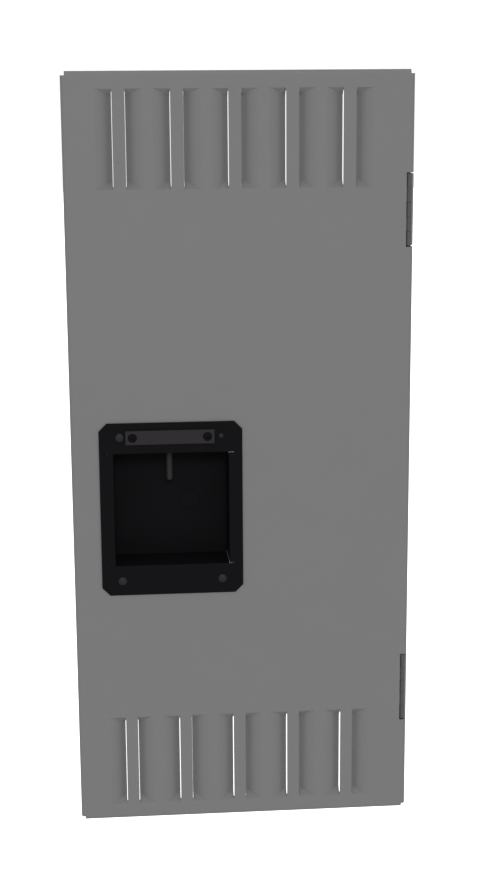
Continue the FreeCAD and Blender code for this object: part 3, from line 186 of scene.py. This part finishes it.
# ---------------------------------------------------------------- materials
def powder_coat(name, colour, specular, roughness, peel=1.6 * MM, depth=0.02 * MM):
    """Powder coat: fine orange peel, faint cloudiness and tiny pigment specks."""
    material, nodes, links, shader = new_material(name)
    coords = place(nodes)
    cloud = spread(nodes, links, noise(nodes, links, coords, 90 * MM, 4), 0.993, 1.007)
    speck = spread(nodes, links, noise(nodes, links, coords, 0.5 * MM, 1), 0.975, 1.025)
    factor = math_node(nodes, links, "MULTIPLY", cloud, speck)
    links.new(tint(nodes, links, colour, factor), shader.inputs["Base Color"])
    gloss = spread(nodes, links, noise(nodes, links, coords, 30 * MM, 3), roughness - 0.04, roughness + 0.04)
    links.new(gloss, shader.inputs["Roughness"])
    shader.inputs["Specular IOR Level"].default_value = specular
    surface(nodes, links, shader, noise(nodes, links, coords, peel, 2), depth, 0.5 * MM)
    return material


def plated(name, colour, roughness):
    """Plated steel: cloudy passivation, spangle cells, a fine bump and soft edges."""
    material, nodes, links, shader = new_material(name)
    coords = place(nodes)
    shader.inputs["Metallic"].default_value = 1.0
    cells = nodes.new("ShaderNodeTexVoronoi")
    cells.inputs["Scale"].default_value = 1 / (5 * MM)
    links.new(coords, cells.inputs["Vector"])
    cloud = spread(nodes, links, noise(nodes, links, coords, 7 * MM, 5), 0.86, 1.08)
    spangle = math_node(nodes, links, "MULTIPLY", cells.outputs["Distance"], 0.10)
    factor = math_node(nodes, links, "ADD", cloud, spangle)
    links.new(tint(nodes, links, colour, factor), shader.inputs["Base Color"])
    gloss = spread(nodes, links, noise(nodes, links, coords, 3 * MM, 4), roughness - 0.08, roughness + 0.10)
    links.new(gloss, shader.inputs["Roughness"])
    surface(nodes, links, shader, noise(nodes, links, coords, 0.35 * MM, 2), 0.008 * MM, 0.25 * MM)
    return material


def moulded(name, colour, roughness, grain=0.45 * MM, depth=0.03 * MM, specular=0.4):
    """Moulded plastic with a fine etched grain and a trace of dust."""
    material, nodes, links, shader = new_material(name)
    coords = place(nodes)
    dust = spread(nodes, links, noise(nodes, links, coords, 45 * MM, 5), 0.92, 1.12)
    links.new(tint(nodes, links, colour, dust), shader.inputs["Base Color"])
    gloss = spread(nodes, links, noise(nodes, links, coords, 14 * MM, 3), roughness - 0.05, roughness + 0.07)
    links.new(gloss, shader.inputs["Roughness"])
    shader.inputs["Specular IOR Level"].default_value = specular
    surface(nodes, links, shader, noise(nodes, links, coords, grain, 2), depth, 0.5 * MM)
    return material


def rubber(name, colour):
    """Matt rubber with talc bloom."""
    material, nodes, links, shader = new_material(name)
    coords = place(nodes)
    bloom = spread(nodes, links, noise(nodes, links, coords, 12 * MM, 5), 0.85, 1.35)
    links.new(tint(nodes, links, colour, bloom), shader.inputs["Base Color"])
    shader.inputs["Roughness"].default_value = 0.62
    shader.inputs["Specular IOR Level"].default_value = 0.3
    surface(nodes, links, shader, noise(nodes, links, coords, 0.8 * MM, 3), 0.03 * MM)
    return material


def foam(name, colour):
    """Closed-cell foam: small round cells."""
    material, nodes, links, shader = new_material(name)
    coords = place(nodes)
    cells = nodes.new("ShaderNodeTexVoronoi")
    cells.inputs["Scale"].default_value = 1 / (0.7 * MM)
    links.new(coords, cells.inputs["Vector"])
    shade = spread(nodes, links, noise(nodes, links, coords, 4 * MM, 3), 0.96, 1.02)
    links.new(tint(nodes, links, colour, shade), shader.inputs["Base Color"])
    shader.inputs["Roughness"].default_value = 0.85
    surface(nodes, links, shader, cells.outputs["Distance"], 0.15 * MM)
    return material


def webbing(name, colour):
    """Woven polyester: picks across the strap, a little sheen."""
    material, nodes, links, shader = new_material(name)
    coords = place(nodes)
    axes = nodes.new("ShaderNodeSeparateXYZ")
    links.new(coords, axes.inputs["Vector"])
    along = math_node(nodes, links, "ADD", axes.outputs["Y"], axes.outputs["Z"])
    waves = []
    for run, period in ((along, 1.3 * MM), (axes.outputs["X"], 1.2 * MM)):
        phase = math_node(nodes, links, "MULTIPLY", run, 2 * math.pi / period)
        waves.append(math_node(nodes, links, "SINE", phase, 0))
    weave = math_node(nodes, links, "MULTIPLY", *waves)
    shade = math_node(nodes, links, "ADD", math_node(nodes, links, "MULTIPLY", weave, 0.25), 1.0)
    links.new(tint(nodes, links, colour, shade), shader.inputs["Base Color"])
    shader.inputs["Roughness"].default_value = 0.75
    shader.inputs["Sheen Weight"].default_value = 0.3
    surface(nodes, links, shader, weave, 0.12 * MM)
    return material


def dull_metal(name, colour, roughness):
    """Soft cast or tinned metal with scuffs and oxide patches."""
    material, nodes, links, shader = new_material(name)
    coords = place(nodes)
    patch = spread(nodes, links, noise(nodes, links, coords, 5 * MM, 6, 0.65), 0.0, 1.0)
    dark = tuple(c * 0.6 for c in colour)
    links.new(blend_colour(nodes, links, patch, dark, tuple(colour)), shader.inputs["Base Color"])
    shader.inputs["Metallic"].default_value = 0.9
    shader.inputs["Roughness"].default_value = roughness
    surface(nodes, links, shader, noise(nodes, links, coords, 0.9 * MM, 4), 0.05 * MM, 0.3 * MM)
    return material


def grey_paint():
    """The cabinet's neutral mid grey."""
    return powder_coat("grey_paint", (0.1467, 0.1467, 0.1468), 0.25, 0.62)


MATERIALS = {
    "grey_paint": grey_paint,
    "zinc_steel": lambda: plated("zinc_steel", (0.60, 0.61, 0.62), 0.34),
    # Hinge parts: partly a dark finish, partly painted shade. The colour is darkened to stand in for the
    # shadow inside the door's hinge notches.
    "black_zinc": lambda: powder_coat("black_zinc", (0.062, 0.062, 0.064), 0.3, 0.45, 0.6 * MM, 0.01 * MM),
    "black_paint": lambda: powder_coat("black_paint", (0.0041, 0.0041, 0.0049), 0.045, 0.7),
    "dark_steel": lambda: powder_coat("dark_steel", (0.0174, 0.0155, 0.0171), 0.12, 0.55, 0.9 * MM),
    "lever_steel": lambda: powder_coat("lever_steel", (0.0212, 0.0199, 0.0206), 0.12, 0.55, 0.9 * MM),
    "black_screw": lambda: powder_coat("black_screw", (0.0032, 0.0027, 0.0032), 0.055, 0.45, 0.7 * MM),
    "grey_rivet": lambda: powder_coat("grey_rivet", (0.0154, 0.0154, 0.0172), 0.12, 0.5, 0.9 * MM),
    "black_rubber": lambda: rubber("black_rubber", (0.018, 0.018, 0.018)),
    "red_cable": lambda: moulded("red_cable", (0.42, 0.018, 0.016), 0.42, 1.2 * MM, 0.03 * MM),
    "white_foam": lambda: foam("white_foam", (0.90, 0.90, 0.89)),
    "battery_plastic": lambda: moulded("battery_plastic", (0.085, 0.09, 0.10), 0.5, 0.6 * MM, 0.05 * MM),
    "battery_lid": lambda: moulded("battery_lid", (0.022, 0.024, 0.027), 0.48, 0.6 * MM, 0.05 * MM),
    "plate_pack": lambda: dull_metal("plate_pack", (0.25, 0.25, 0.27), 0.6),
    "lead": lambda: dull_metal("lead", (0.36, 0.36, 0.38), 0.5),
    "tinned_copper": lambda: dull_metal("tinned_copper", (0.66, 0.63, 0.58), 0.32),
    "webbing": lambda: webbing("webbing", (0.05, 0.05, 0.055)),
    "switch_plastic": lambda: moulded("switch_plastic", (0.03, 0.03, 0.032), 0.4),
    "red_plastic": lambda: moulded("red_plastic", (0.50, 0.022, 0.016), 0.33),
    "gland_plastic": lambda: moulded("gland_plastic", (0.022, 0.022, 0.023), 0.5),
}


def dress_cad_nodes(made):
    """Gives every CAD node the material of its slot."""
    for part in frame["record"]["subparts"]:
        mesh = NODES[part["node"]].data
        mesh.materials.clear()
        mesh.materials.append(made[part["material_slot"]])
        for face in mesh.polygons:
            face.material_index = 0


# ---------------------------------------------------------------- soft pieces
def mesh_object(name, points, faces, material, smooth=True):
    """Object from points and faces."""
    mesh = bpy.data.meshes.new(name)
    mesh.from_pydata([tuple(p) for p in points], [], faces)
    mesh.update()
    for face in mesh.polygons:
        face.use_smooth = smooth
    piece = bpy.data.objects.new(name, mesh)
    bpy.context.scene.collection.objects.link(piece)
    mesh.materials.append(material)
    return piece


def rounded_loop(y0, y1, z0, z1, radius, step):
    """Points and outward normals round a rectangle with round corners, in the YZ plane."""
    spots = []
    corners = ((y1 - radius, z1 - radius, 0), (y0 + radius, z1 - radius, 90),
               (y0 + radius, z0 + radius, 180), (y1 - radius, z0 + radius, 270))
    for index, (cy, cz, first) in enumerate(corners):
        for k in range(7):
            angle = math.radians(first + 15 * k)
            out = Vector((0, math.cos(angle), math.sin(angle)))
            spots.append((Vector((0, cy, cz)) + out * radius, out))
        here, out = spots[-1]
        ny, nz, angle = corners[(index + 1) % 4]
        nangle = math.radians(angle)
        there = Vector((0, ny + radius * math.cos(nangle), nz + radius * math.sin(nangle)))
        count = max(2, int((there - here).length / step))
        for k in range(1, count):
            spots.append((here.lerp(there, k / count), out))
    return spots


def ribbed_section(width, thick):
    """Closed outline of webbing: flat ribs on both faces and rolled edges: (across, through)."""
    per_rib = 5
    count = WEBBING_RIBS * per_rib
    outline = []
    for side in (1, -1):
        for k in range(count + 1):
            across = width * (0.5 - k / count) * side
            edge = min(k, count - k) / count * width
            roll = min(1.0, math.sqrt(edge / (thick * 0.6)))
            rib = RIB_HEIGHT * math.cos(2 * math.pi * k / per_rib)
            outline.append((across, side * (thick / 2 * max(roll, 0.25) - RIB_HEIGHT + rib)))
    return outline


def webbing_loop(name, node, material):
    """Webbing loop round a battery, on the line of its CAD strap."""
    low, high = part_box(node)
    half = WEBBING_T / 2
    middle = (low.x + high.x) / 2
    spots = rounded_loop(low.y + half, high.y - half, low.z + half, high.z - half,
                         WEBBING_BEND, WEBBING_STEP)
    section = ribbed_section(high.x - low.x, WEBBING_T)
    points = []
    for at, out in spots:
        for across, through in section:
            points.append(at + out * through + Vector((middle + across, 0, 0)))
    return close_tube(name, points, len(spots), len(section), material)


def close_tube(name, points, rings, per_ring, material):
    """Closed ring of sections, as one object."""
    faces = []
    for i in range(rings):
        j = (i + 1) % rings
        for k in range(per_ring):
            m = (k + 1) % per_ring
            faces.append((i * per_ring + k, i * per_ring + m, j * per_ring + m, j * per_ring + k))
    return mesh_object(name, points, faces, material)


def strap_tail(name, node, material):
    """Loose end of a strap, lying on its top run behind the buckle, with its end lifted."""
    low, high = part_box(node)
    middle = (low.x + high.x) / 2
    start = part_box("strap_buckles")[1].y + 1.0 * MM
    section = ribbed_section((high.x - low.x) * 0.97, TAIL_T)
    points = []
    rings = 26
    for i in range(rings):
        share = i / (rings - 1)
        lift = TAIL_CLEAR + TAIL_LIFT * share ** 3
        at = Vector((0, start + TAIL_LENGTH * share, high.z + TAIL_T / 2 + lift))
        for across, through in section:
            points.append(at + Vector((middle + across, 0, through)))
    count = len(section)
    faces = []
    for i in range(rings - 1):
        for k in range(count):
            a, b = i * count + k, i * count + (k + 1) % count
            faces.append((a, a + count, b + count, b))
    faces.append(tuple(range(count)))
    faces.append(tuple(reversed(range((rings - 1) * count, rings * count))))
    return mesh_object(name, points, faces, material)


def sponge_runs(name, runs, material, front, back):
    """Sponge strip with a domed front; each run is a rectangle (x0, x1, z0, z1) on the plane y = back."""
    points = []
    faces = []
    steps = 10
    for x0, x1, z0, z1 in runs:
        upright = (z1 - z0) > (x1 - x0)
        width = (x1 - x0) if upright else (z1 - z0)
        length = (z1 - z0) if upright else (x1 - x0)
        rings = max(2, int(length / (12 * MM)))
        base = len(points)
        for i in range(rings + 1):
            along = length * i / rings
            for k in range(steps + 1):
                angle = math.pi * k / steps
                across = width / 2 * (1 - math.cos(angle))
                y = back - (back - front) * (0.35 + 0.65 * math.sin(angle))
                x, z = (x0 + across, z0 + along) if upright else (x0 + along, z0 + across)
                points.append(Vector((x, y, z)))
            for across in (width, 0.0):
                x, z = (x0 + across, z0 + along) if upright else (x0 + along, z0 + across)
                points.append(Vector((x, back, z)))
        count = steps + 3
        for i in range(rings):
            for k in range(count):
                a = base + i * count + k
                b = base + i * count + (k + 1) % count
                quad = (a, b, b + count, a + count)
                faces.append(quad if upright else tuple(reversed(quad)))
        first = tuple(range(base, base + count))
        last = tuple(range(base + rings * count, base + (rings + 1) * count))
        faces.append(tuple(reversed(first)) if upright else first)
        faces.append(last if upright else tuple(reversed(last)))
    piece = mesh_object(name, points, faces, material)
    piece.data.set_sharp_from_angle(angle=math.radians(40))
    return piece


def body_gasket(material):
    """Sponge strip on the body's front lips, cut at the two hinges."""
    low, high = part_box("door_gasket")
    side, foot, clear = SEAL_SIDE, SEAL_FOOT, 1 * MM
    leaf_low, leaf_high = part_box("hinge_body_leaves")
    lower_end = leaf_low.z - clear
    upper_end = leaf_high.z + clear
    runs = [(low.x, low.x + side, low.z, high.z),
            (low.x + side, high.x - side, high.z - side, high.z),
            (low.x + side, high.x - side, low.z, low.z + foot),
            (high.x - side, high.x, low.z, lower_end),
            (high.x - side, high.x, lower_end + HINGE_GAP, upper_end - HINGE_GAP),
            (high.x - side, high.x, upper_end, high.z)]
    piece = sponge_runs("door_sponge_seal", runs, material, low.y, high.y)
    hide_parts("door_gasket")
    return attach(piece, "cabinet")


def pocket_foam(material):
    """White foam strips round the latch pocket, behind its flange."""
    low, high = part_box("pocket_gasket")
    bead_low, bead_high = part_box("pocket_sealant")
    left = low.x + FOAM_LEFT
    right = high.x - FOAM_RIGHT
    bottom = bead_low.z - POCKET_WALL
    top = bead_high.z + POCKET_WALL
    runs = [(low.x, left, low.z, high.z), (right, high.x, low.z, high.z),
            (left, right, low.z, bottom), (left, right, top, high.z)]
    piece = sponge_runs("pocket_foam", runs, material, low.y, high.y)
    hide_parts("pocket_gasket")
    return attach(piece, "door")


def soft_pieces(made):
    """Every piece that stands for a soft CAD solid."""
    for level in ("lower", "upper"):
        loop = webbing_loop(level + "_webbing", level + "_strap", made["webbing"])
        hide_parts(level + "_strap")
        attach(loop, "cabinet")
        tail = strap_tail(level + "_strap_tail", level + "_strap", made["webbing"])
        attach(tail, "cabinet")
    body_gasket(made["black_rubber"])
    pocket_foam(made["white_foam"])


# ---------------------------------------------------------------- stage
def camera_only(nodes, links, seen, lighting):
    """Mixes two shaders: what the camera sees, and what lights the object."""
    ray = nodes.new("ShaderNodeLightPath")
    mix = nodes.new("ShaderNodeMixShader")
    links.new(ray.outputs["Is Camera Ray"], mix.inputs["Fac"])
    links.new(lighting, mix.inputs[1])
    links.new(seen, mix.inputs[2])
    return mix.outputs["Shader"]


def floor():
    """Plain pale floor under the hanging cabinet."""
    z = cad_box[0].z - FLOOR_DROP
    corners = [Vector((x * FLOOR_HALF, y * FLOOR_HALF, z)) for x, y in ((-1, -1), (1, -1), (1, 1), (-1, 1))]
    material, nodes, links, shader = new_material("pale_floor")
    coords = place(nodes)
    shade = spread(nodes, links, noise(nodes, links, coords, 0.8, 3), 0.985, 1.0)
    links.new(tint(nodes, links, (0.82, 0.82, 0.82), shade), shader.inputs["Base Color"])
    shader.inputs["Roughness"].default_value = 0.9
    glow = nodes.new("ShaderNodeEmission")
    glow.inputs["Strength"].default_value = 1.0
    add = nodes.new("ShaderNodeAddShader")
    links.new(shader.outputs["BSDF"], add.inputs[0])
    links.new(glow.outputs["Emission"], add.inputs[1])
    out = nodes["Material Output"]
    links.new(camera_only(nodes, links, add.outputs["Shader"], shader.outputs["BSDF"]), out.inputs["Surface"])
    mesh_object("floor", corners, [(0, 1, 2, 3)], material, False)


def sky():
    """White surround for the camera; a soft top-to-bottom gradient lights the object."""
    world = bpy.data.worlds.new("studio")
    bpy.context.scene.world = world
    world.use_nodes = True
    nodes, links = world.node_tree.nodes, world.node_tree.links
    coords = nodes.new("ShaderNodeTexCoord")
    axes = nodes.new("ShaderNodeSeparateXYZ")
    links.new(coords.outputs["Generated"], axes.inputs["Vector"])
    ramp = nodes.new("ShaderNodeMapRange")
    ramp.inputs["From Min"].default_value = -1
    ramp.inputs["From Max"].default_value = 1
    links.new(axes.outputs["Z"], ramp.inputs["Value"])
    stops = nodes.new("ShaderNodeFloatCurve")
    curve = stops.mapping.curves[0]
    curve.points[0].location = (0.0, SKY_DOWN / 2)
    curve.points[1].location = (1.0, SKY_UP / 2)
    curve.points.new(0.5, SKY_SIDE / 2)
    stops.mapping.update()
    links.new(ramp.outputs["Result"], stops.inputs["Value"])
    doubled = math_node(nodes, links, "MULTIPLY", stops.outputs["Value"], 2.0)
    lighting = nodes["Background"]
    links.new(doubled, lighting.inputs["Strength"])
    lighting.inputs["Color"].default_value = (1, 1, 1, 1)
    seen = nodes.new("ShaderNodeBackground")
    seen.inputs["Strength"].default_value = 1.05
    seen.inputs["Color"].default_value = (1, 1, 1, 1)
    links.new(camera_only(nodes, links, seen.outputs["Background"], lighting.outputs["Background"]),
              nodes["World Output"].inputs["Surface"])


def soft_sun(name, strength, side, height, softness):
    """Distant soft light; its place is given as angles round the cabinet's front."""
    data = bpy.data.lights.new(name, "SUN")
    data.energy = strength
    data.angle = math.radians(softness)
    lamp = bpy.data.objects.new(name, data)
    side, height = math.radians(side), math.radians(height)
    back = Vector((math.sin(side) * math.cos(height), -math.cos(side) * math.cos(height), math.sin(height)))
    lamp.rotation_euler = back.to_track_quat("Z", "Y").to_euler()
    bpy.context.scene.collection.objects.link(lamp)


def camera():
    """Camera at the viewing place, measured from the door panel."""
    low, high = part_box("door_panel")
    width, height = high.x - low.x, high.z - low.z
    data = bpy.data.cameras.new("camera")
    data.lens = LENS
    data.sensor_width = SENSOR
    view = bpy.data.objects.new("camera", data)
    bpy.context.scene.collection.objects.link(view)
    yaw, pitch, roll = (math.radians(a) for a in (CAMERA_YAW, CAMERA_PITCH, CAMERA_ROLL))
    ahead = Vector((math.sin(yaw) * math.cos(pitch), math.cos(yaw) * math.cos(pitch), -math.sin(pitch)))
    right = Vector((math.cos(yaw), -math.sin(yaw), 0))
    up = right.cross(ahead)
    tilted_right = right * math.cos(roll) + up * math.sin(roll)
    tilted_up = up * math.cos(roll) - right * math.sin(roll)
    at = Vector((low.x + CAMERA_ACROSS * width, low.y - CAMERA_BACK * height, low.z + CAMERA_UP * height))
    turn = Matrix((tilted_right, tilted_up, -ahead)).transposed().to_4x4()
    view.matrix_world = Matrix.Translation(at) @ turn
    bpy.context.scene.camera = view


def main():
    """Everything in order."""
    made = {name: build() for name, build in MATERIALS.items()}
    dress_cad_nodes(made)
    soft_pieces(made)
    floor()
    sky()
    soft_sun("key", *KEY)
    for index, fill in enumerate(FILLS):
        soft_sun("fill_" + str(index + 1), *fill)
    camera()
    settings = bpy.context.scene.view_settings
    settings.view_transform = "Standard"
    settings.look = "None"


main()
